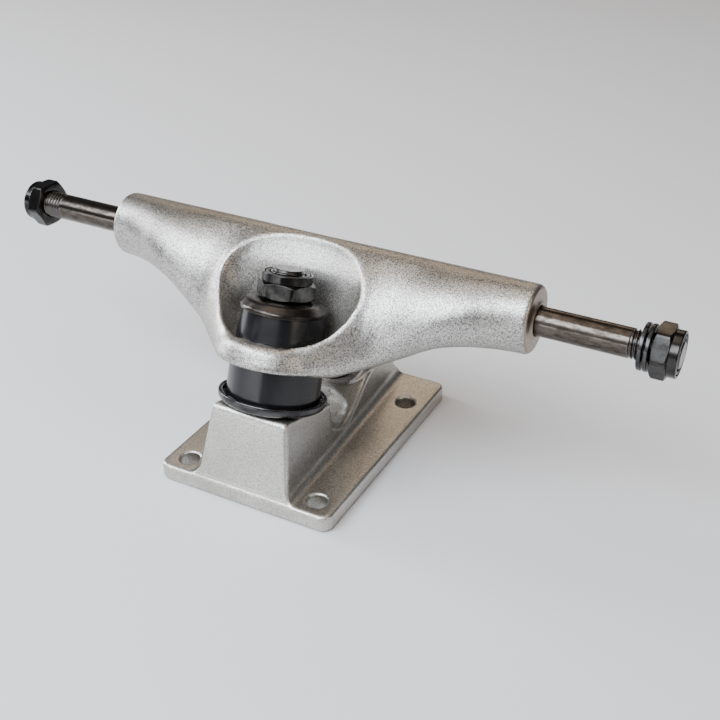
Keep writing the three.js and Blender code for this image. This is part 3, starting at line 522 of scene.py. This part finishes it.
# Screw thread rule: a plain rod whose ends past the shoulder carry a helical thread, capped and chamfered
def threadTree():
    tree = bpy.data.node_groups.new("threaded rod", "GeometryNodeTree")
    link = tree.links.new
    tree.interface.new_socket("Geometry", in_out="INPUT", socket_type="NodeSocketGeometry")
    floats = ["Length", "Radius", "Thread radius", "Thread depth", "Pitch", "Shoulder", "Chamfer", "Plain share"]
    for name in floats:
        tree.interface.new_socket(name, in_out="INPUT", socket_type="NodeSocketFloat")
    for name in ("Rings", "Sides"):
        tree.interface.new_socket(name, in_out="INPUT", socket_type="NodeSocketInt")
    tree.interface.new_socket("Place", in_out="INPUT", socket_type="NodeSocketVector")
    tree.interface.new_socket("Turn", in_out="INPUT", socket_type="NodeSocketRotation")
    tree.interface.new_socket("Material", in_out="INPUT", socket_type="NodeSocketMaterial")
    tree.interface.new_socket("Geometry", in_out="OUTPUT", socket_type="NodeSocketGeometry")
    given = tree.nodes.new("NodeGroupInput").outputs

    def maths(operation, *values):
        node = tree.nodes.new("ShaderNodeMath")
        node.operation = operation
        for socket, value in zip(node.inputs, values):
            if isinstance(value, (int, float)):
                socket.default_value = value
            else:
                link(value, socket)
        return node.outputs[0]

    def ramp(value, low, high, toLow, toHigh, smooth=False):
        node = tree.nodes.new("ShaderNodeMapRange")
        node.interpolation_type = "SMOOTHSTEP" if smooth else "LINEAR"
        names = ("Value", "From Min", "From Max", "To Min", "To Max")
        for name, number in zip(names, (value, low, high, toLow, toHigh)):
            if isinstance(number, (int, float)):
                node.inputs[name].default_value = number
            else:
                link(number, node.inputs[name])
        return node.outputs["Result"]

    grid = tree.nodes.new("GeometryNodeMeshGrid")
    grid.inputs["Size X"].default_value = 1.0
    grid.inputs["Size Y"].default_value = 1.0
    link(given["Rings"], grid.inputs["Vertices X"])
    link(maths("ADD", given["Sides"], 1), grid.inputs["Vertices Y"])
    spot = tree.nodes.new("ShaderNodeSeparateXYZ")
    link(tree.nodes.new("GeometryNodeInputPosition").outputs[0], spot.inputs[0])
    half = maths("MULTIPLY", given["Length"], 0.5)
    along = maths("MULTIPLY", maths("ABSOLUTE", spot.outputs[0]), 2.0)
    plain = ramp(along, 0.0, given["Plain share"], 0.0, given["Shoulder"])
    rest = maths("ADD", maths("SUBTRACT", half, given["Shoulder"]), given["Thread radius"])
    reach = maths("ADD", plain, ramp(along, given["Plain share"], 1.0, 0.0, rest))
    depth = maths("MINIMUM", reach, half)
    height = maths("MULTIPLY", depth, maths("SIGN", spot.outputs[0]))
    past = maths("MAXIMUM", maths("SUBTRACT", reach, half), 0.0)
    angle = maths("MULTIPLY", spot.outputs[1], 2 * math.pi)
    phase = maths("FRACT", maths("SUBTRACT", maths("DIVIDE", height, given["Pitch"]), spot.outputs[1]))
    wave = maths("ABSOLUTE", maths("SUBTRACT", maths("MULTIPLY", phase, 2.0), 1.0))
    crest = ramp(wave, *crestEdges, 0.0, 1.0)
    groove = maths("MULTIPLY", maths("SUBTRACT", 1.0, crest), given["Thread depth"])
    threaded = maths("SUBTRACT", given["Thread radius"], groove)
    shoulderEnd = maths("ADD", given["Shoulder"], given["Chamfer"])
    share = ramp(depth, given["Shoulder"], shoulderEnd, 0.0, 1.0, True)
    kept = maths("MULTIPLY", given["Radius"], maths("SUBTRACT", 1.0, share))
    radius = maths("ADD", kept, maths("MULTIPLY", threaded, share))
    bevel = maths("MAXIMUM", maths("SUBTRACT", depth, maths("SUBTRACT", half, given["Chamfer"])), 0.0)
    radius = maths("MINIMUM", radius, maths("SUBTRACT", given["Thread radius"], bevel))
    radius = maths("MAXIMUM", maths("SUBTRACT", radius, maths("MULTIPLY", past, capShrink)), 0.0)
    place = tree.nodes.new("ShaderNodeCombineXYZ")
    link(maths("MULTIPLY", radius, maths("COSINE", angle)), place.inputs[0])
    link(maths("MULTIPLY", radius, maths("SINE", angle)), place.inputs[1])
    link(height, place.inputs[2])
    shaped = tree.nodes.new("GeometryNodeSetPosition")
    link(grid.outputs["Mesh"], shaped.inputs["Geometry"])
    link(place.outputs[0], shaped.inputs["Position"])
    turned = tree.nodes.new("GeometryNodeTransform")
    link(shaped.outputs[0], turned.inputs["Geometry"])
    link(given["Place"], turned.inputs["Translation"])
    link(given["Turn"], turned.inputs["Rotation"])
    sewn = tree.nodes.new("GeometryNodeMergeByDistance")
    sewn.inputs["Distance"].default_value = castWeld
    link(turned.outputs[0], sewn.inputs["Geometry"])
    joined = tree.nodes.new("GeometryNodeJoinGeometry")
    link(sewn.outputs[0], joined.inputs[0])
    link(given["Geometry"], joined.inputs[0])
    real = tree.nodes.new("GeometryNodeRealizeInstances")
    link(joined.outputs[0], real.inputs[0])
    coat = tree.nodes.new("GeometryNodeSetMaterial")
    link(real.outputs[0], coat.inputs["Geometry"])
    link(given["Material"], coat.inputs["Material"])
    out = tree.nodes.new("NodeGroupOutput")
    link(coat.outputs[0], out.inputs[0])
    return tree


def threadedMesh(name, base, tree, rod, frameOf, middle, material):
    carrier = bpy.data.objects.new(name + " carrier", base)
    bpy.context.scene.collection.objects.link(carrier)
    modifier = carrier.modifiers.new("thread", "NODES")
    modifier.node_group = tree
    placed = frameOf @ Matrix.Translation((0, 0, middle))
    values = dict(rod)
    values["Place"] = [v * mm for v in placed.translation]
    values["Turn"] = list(placed.to_euler())
    values["Material"] = material
    for item in tree.interface.items_tree:
        if item.in_out == "INPUT" and item.name in values:
            modifier[item.identifier] = values[item.name]
    mesh = bpy.data.meshes.new_from_object(carrier.evaluated_get(bpy.context.evaluated_depsgraph_get()))
    bpy.data.objects.remove(carrier)
    work = bmesh.new()
    work.from_mesh(mesh)
    bmesh.ops.dissolve_degenerate(work, dist=fineWeld, edges=work.edges)
    bmesh.ops.recalc_face_normals(work, faces=work.faces)
    work.to_mesh(mesh)
    work.free()
    mesh.shade_smooth()
    mesh.name = name
    print(name, "has", len(mesh.polygons), "faces")
    return mesh


rodTree = threadTree()
axleRod = {
    "Length": 203.2 * mm, "Radius": 3.97 * mm, "Thread radius": 3.90 * mm, "Thread depth": 0.55 * mm,
    "Pitch": 1.058 * mm, "Shoulder": 88.8 * mm, "Chamfer": 0.7 * mm, "Plain share": 0.1,
    "Rings": 261, "Sides": 56,
}
axleMesh = threadedMesh("axle rod", bpy.data.meshes.new("axle"), rodTree, axleRod, axleFrame, 0.0, axleSteel)
axle = finish("axle rod", axleMesh, axleSteel, "steering_hanger", "axle")

kingpinHead = {"flats": 14.3, "bottom": -24.4, "top": -18.8, "faceRadius": 6.9, "turn": math.pi / 6}
headRings = hexRings(
    kingpinHead["flats"], kingpinHead["bottom"], kingpinHead["top"], kingpinHead["faceRadius"],
    hexSides, kingpinHead["turn"],
)
headCap = [[(0.0, 0.0, kingpinHead["bottom"])] * hexSides]
headSeat = [[(0.0, 0.0, kingpinHead["top"])] * hexSides]
headMesh = skinOf(headCap + headRings + headSeat, kingpinFrame, "kingpin head", False)
kingpinRod = {
    "Length": 56.4 * mm, "Radius": 4.75 * mm, "Thread radius": 4.68 * mm, "Thread depth": 0.6 * mm,
    "Pitch": 1.058 * mm, "Shoulder": 18.0 * mm, "Chamfer": 0.8 * mm, "Plain share": 0.1,
    "Rings": 201, "Sides": 56,
}
kingpinMiddle = 6.4
kingpinMesh = threadedMesh(
    "kingpin bolt", headMesh, rodTree, kingpinRod, kingpinFrame, kingpinMiddle, blackSteel,
)
kingpin = finish("kingpin bolt", kingpinMesh, blackSteel, "base", "kingpin")

# Washers, bushings and the pivot cup, each a dictionary of millimetres and a function from it to its corners
def lowerCupCorners(cup):
    under = -cup["height"]
    inner = cup["radius"] - cup["wall"]
    return [
        (cup["hole"], under, cup["holeRound"]), (cup["radius"] - cup["footIn"], under, cup["footRound"]),
        (cup["radius"], under + cup["wall"], cup["sideRound"]), (cup["radius"], 0.0, cup["rimRound"]),
        (inner, 0.0, cup["rimRound"]), (inner, under + cup["wall"], cup["insideRound"]),
        (cup["hole"], under + cup["wall"], cup["holeRound"]),
    ]


lowerWasher = {
    "radius": 15.0, "height": 3.0, "wall": 1.3, "hole": 5.1, "footIn": 1.4,
    "holeRound": 0.2, "footRound": 1.2, "sideRound": 0.9, "rimRound": 0.55, "insideRound": 0.6,
}
lowerWasherMesh = turnedMesh("lower cup washer", lowerCupCorners(lowerWasher), kingpinFrame)
finish("lower cup washer", lowerWasherMesh, blackSteel, "base", "bottom_washer")


def bushingCorners(bushing):
    hole, bottom, top = bushing["hole"], bushing["bottom"], bushing["top"]
    return [
        (hole, bottom, bushing["holeRound"]), (bushing["baseRadius"], bottom, bushing["edgeRound"]),
        *[(radius, height, bushing["sideRound"]) for radius, height in bushing["side"]],
        (bushing["topRadius"], top, bushing["edgeRound"]), (hole, top, bushing["holeRound"]),
    ]


lowerBushing = {
    "baseRadius": 12.85, "topRadius": 12.85, "bottom": -1.4, "top": 11.2, "hole": 5.2,
    "side": [(12.85, 2.0), (12.85, 5.0), (12.85, 8.0)], "holeRound": 0.3, "edgeRound": 0.7, "sideRound": 0.2,
}
lowerBushingMesh = turnedMesh("lower bushing", bushingCorners(lowerBushing), kingpinFrame)
lowerPiece = finish("lower bushing", lowerBushingMesh, urethane, None, "bottom_bushing")
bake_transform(lowerPiece)

upperBushing = {
    "baseRadius": 12.1, "topRadius": 10.7, "bottom": 14.9, "top": 24.7, "hole": 5.2,
    "side": [(11.6, 18.2), (11.2, 21.3)], "holeRound": 0.3, "edgeRound": 0.7, "sideRound": 0.2,
}
upperBushingMesh = turnedMesh("upper bushing", bushingCorners(upperBushing), kingpinFrame)
upperPiece = finish("upper bushing", upperBushingMesh, urethane, None, "top_bushing")
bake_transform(upperPiece)


def upperCupCorners(cup):
    inner = cup["radius"] - cup["wall"]
    return [
        (cup["hole"], cup["under"], cup["boreRound"]), (inner, cup["under"], cup["insideRound"]),
        (inner, cup["rim"], cup["rimRound"]), (cup["radius"], cup["rim"], cup["rimRound"]),
        (cup["radius"], cup["rim"] + cup["skirt"], cup["skirtRound"]),
        (cup["crown"], cup["top"] - cup["crownDrop"], cup["crownRound"]),
        (cup["flat"], cup["top"], cup["flatRound"]), (cup["hole"], cup["top"], cup["holeRound"]),
    ]


upperWasher = {
    "radius": 11.9, "rim": 23.3, "under": 25.0, "top": 26.5, "wall": 0.8, "crown": 10.2, "flat": 8.6, "hole": 5.1,
    "skirt": 1.0, "crownDrop": 0.3, "boreRound": 0.2, "insideRound": 0.4, "rimRound": 0.3, "skirtRound": 0.7,
    "crownRound": 1.2, "flatRound": 0.9, "holeRound": 0.25,
}
upperWasherMesh = turnedMesh("upper cup washer", upperCupCorners(upperWasher), kingpinFrame)
finish("upper cup washer", upperWasherMesh, washerSteel, "base", "top_washer")


def pivotCupCorners(cup):
    inside = cup["floor"] - cup["depth"]
    return [
        (0.0, -cup["depth"], 0.0), (cup["radius"], -cup["depth"], cup["endRound"]),
        (cup["radius"], cup["flangeUnder"], cup["neckRound"]),
        (cup["flangeRadius"], cup["flangeUnder"], cup["flangeFootRound"]),
        (cup["flangeRadius"], cup["flangeTop"], cup["flangeRound"]),
        (cup["bore"], cup["flangeTop"], cup["mouthRound"]), (cup["bore"], inside, cup["floorRound"]),
        (0.0, inside, 0.0),
    ]


pivotCup = {
    "radius": 7.6, "depth": 10.2, "floor": 1.4, "flangeRadius": 8.3, "flangeUnder": 0.3, "flangeTop": 1.3,
    "bore": 6.4, "endRound": 0.8, "neckRound": 0.1, "flangeFootRound": 0.2, "flangeRound": 0.5,
    "mouthRound": 0.6, "floorRound": 1.2,
}
pivotCupMesh = turnedMesh("pivot cup", pivotCupCorners(pivotCup), pivotFrame, looped=False)
finish("pivot cup", pivotCupMesh, cupRubber, "base", "pivot_cup")


# A plain ring, with one rounding for each of its four corners
def ringCorners(ring):
    inner, outer, bottom, top = (ring[key] for key in ("inner", "outer", "bottom", "top"))
    spots = [(inner, bottom), (outer, bottom), (outer, top), (inner, top)]
    return [(*spot, bend) for spot, bend in zip(spots, ring["rounds"])]


# Nuts with their nylon rings
nylonRounds = (0.15, 0.15, 0.3, 0.3)
kingpinNut = {
    "flats": 14.3, "faceShare": 0.97, "hexHeight": 4.5, "collarHeight": 2.2, "collarRadius": 6.8, "bore": 5.05,
    "lipRadius": 6.3, "lipDepth": 2.3, "collarRound": 1.3, "at": 26.8, "turn": math.radians(17),
}
kingpinNutFrame = kingpinFrame @ Matrix.Translation((0, 0, kingpinNut["at"]))
kingpinNutMesh = nutMesh("kingpin nut", kingpinNut, kingpinNutFrame, kingpinNut["turn"])
finish("kingpin nut", kingpinNutMesh, nutSteel, "base", "kingpin_nut")
kingpinRing = {"outer": 6.0, "inner": 5.05, "bottom": 4.5, "top": 6.7, "rounds": nylonRounds}
kingpinRingMesh = turnedMesh("kingpin nut ring", ringCorners(kingpinRing), kingpinNutFrame)
finish("kingpin nut ring", kingpinRingMesh, nylon, "base", "kingpin_nut_insert")

axleNut = {
    "flats": 12.7, "faceShare": 0.96, "hexHeight": 4.4, "collarHeight": 2.2, "collarRadius": 6.05, "bore": 4.08,
    "lipRadius": 5.28, "lipDepth": 1.7, "collarRound": 0.8, "at": 94.8, "turn": 0.0,
}
axleRing = {"outer": 4.98, "inner": 4.08, "bottom": 5.1, "top": 6.6, "rounds": nylonRounds}
for end, endFrame in (("left", leftFrame), ("right", axleFrame)):
    nutFrame = endFrame @ Matrix.Translation((0, 0, axleNut["at"]))
    nut = nutMesh("axle nut " + end, axleNut, nutFrame, axleNut["turn"])
    finish("axle nut " + end, nut, nutSteel, "steering_hanger", "axle_nut_" + end)
    ring = turnedMesh("axle nut ring " + end, ringCorners(axleRing), nutFrame)
    finish("axle nut ring " + end, ring, nylon, "steering_hanger", "axle_nut_" + end + "_insert")

speedWasher = {"outer": 6.1, "inner": 4.37, "bottom": 0.0, "top": 1.1, "rounds": (0.15, 0.3, 0.3, 0.15)}
speedWasherAt = {"inner": 91.7, "outer": 93.25}
for name, along in speedWasherAt.items():
    washerFrame = axleFrame @ Matrix.Translation((0, 0, along))
    washer = turnedMesh("speed washer " + name, ringCorners(speedWasher), washerFrame)
    finish("speed washer " + name, washer, blackSteel, name + "_washer", "speed_washer_" + name)
print("pieces made")

# Floor and soft studio light
floorMesh = bpy.data.meshes.new("floor")
floorReach = 1.6
floorCorners = [(x * floorReach, y * floorReach, 0) for x, y in ((-1, -1), (1, -1), (1, 1), (-1, 1))]
floorMesh.from_pydata(floorCorners, [], [(0, 1, 2, 3)])
floor = bpy.data.objects.new("floor", floorMesh)
bpy.context.scene.collection.objects.link(floor)
floorPaint, floorTree, floorShader, _ = newMaterial("floor paint")
floorShader.inputs["Base Color"].default_value = (0.68, 0.68, 0.69, 1)
floorShader.inputs["Roughness"].default_value = 0.6
floorMesh.materials.append(floorPaint)


def addLight(name, place, aim, size, power, colour):
    data = bpy.data.lights.new(name, "AREA")
    data.shape = "RECTANGLE"
    data.size, data.size_y = size
    data.energy = power
    data.color = colour
    light = bpy.data.objects.new(name, data)
    light.location = place
    light.rotation_euler = (Vector(aim) - Vector(place)).to_track_quat("-Z", "Y").to_euler()
    bpy.context.scene.collection.objects.link(light)


addLight("window", (-0.22, -0.46, 0.66), (0, 0, 0.03), (0.9, 0.45), 15.4, (0.86, 0.92, 1.0))
addLight("side window", (-0.85, 0.02, 0.30), (0, 0, 0.03), (0.22, 0.5), 7.0, (0.93, 0.96, 1.0))
addLight("low front", (-0.40, -0.85, 0.09), (0, 0, 0.02), (0.8, 0.16), 1.9, (0.94, 0.97, 1.0))
addLight("front", (-0.05, -0.85, 0.42), (0, 0, 0.03), (0.9, 0.3), 1.0, (0.96, 0.97, 1.0))
addLight("right", (0.85, -0.20, 0.42), (0, 0, 0.03), (0.6, 0.6), 2.3, (1.0, 0.88, 0.74))
addLight("overhead", (-0.05, 0.12, 0.95), (0, 0, 0.04), (0.9, 0.6), 2.8, (1.0, 0.87, 0.72))
addLight("back", (-0.30, 0.80, 0.50), (0, 0, 0.04), (0.7, 0.3), 1.1, (1.0, 0.78, 0.55))
world = bpy.data.worlds.new("world")
world.use_nodes = True
world.node_tree.nodes["Background"].inputs["Color"].default_value = (0.62, 0.64, 0.68, 1)
world.node_tree.nodes["Background"].inputs["Strength"].default_value = 0.18
bpy.context.scene.world = world
print("stage and light made")
